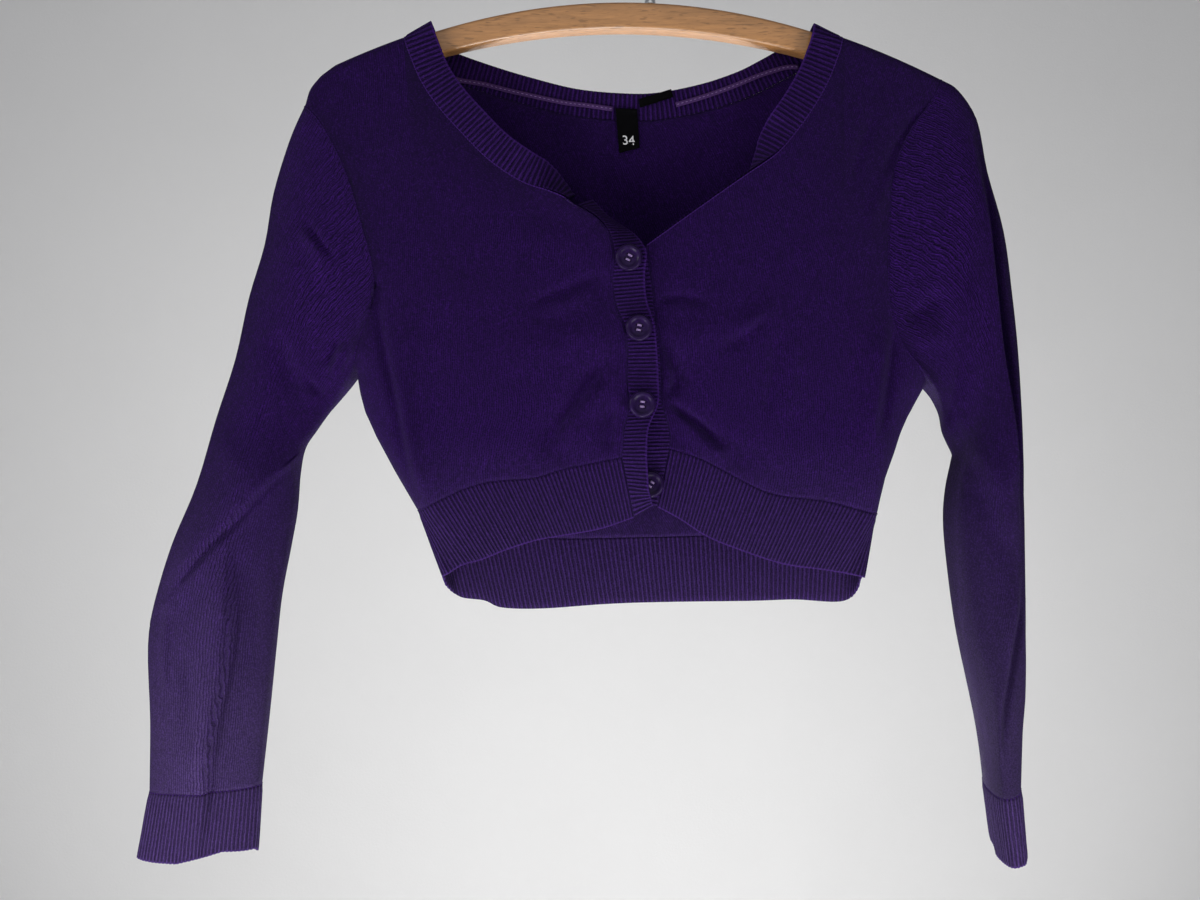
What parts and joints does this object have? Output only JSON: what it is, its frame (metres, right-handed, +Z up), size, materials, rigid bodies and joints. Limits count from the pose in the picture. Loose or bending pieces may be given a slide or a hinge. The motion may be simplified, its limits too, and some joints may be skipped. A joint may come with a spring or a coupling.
{
  "type": "cropped cardigan bolero on a clothes hanger",
  "caption": "Cropped long-sleeved ribbed-edge cardigan bolero, buttoned, hanging on a curved wooden clothes hanger with a wire hook.",
  "frame": {"origin": "inner top of the hanger's hook, where a rail carries it", "axes": "+X to the right as the front is seen, which is the wearer's left; -Y towards the front; +Z up"},
  "size_m": [0.6189, 0.0571, 0.6705],
  "materials": {
    "knit": "fine plain knit, matt dark violet",
    "rib": "one by one rib knit, matt dark violet",
    "button": "polished dark violet plastic",
    "label": "woven satin tape, black",
    "tape": "woven tape, mauve",
    "beech": "clear lacquered beech",
    "steel": "bright wire"
  },
  "bodies": {
    "root": {"back": "knit", "front_right": "knit", "front_left": "knit", "sleeve_right": "knit", "sleeve_left": "knit", "hem_rib_back": "rib", "hem_rib_front_right": "rib", "hem_rib_front_left": "rib", "cuff_right": "rib", "cuff_left": "rib", "neck_band": "rib", "buttonhole_band": "rib", "button_band": "rib", "button_1": "button", "button_2": "button", "button_3": "button", "button_4": "button", "size_label": "label", "blank_label": "label", "neck_tape_right": "tape", "neck_tape_left": "tape", "hanger_bar": "beech", "hanger_hook": "steel", "hook_collar": "steel"}
  },
  "joints": []
}
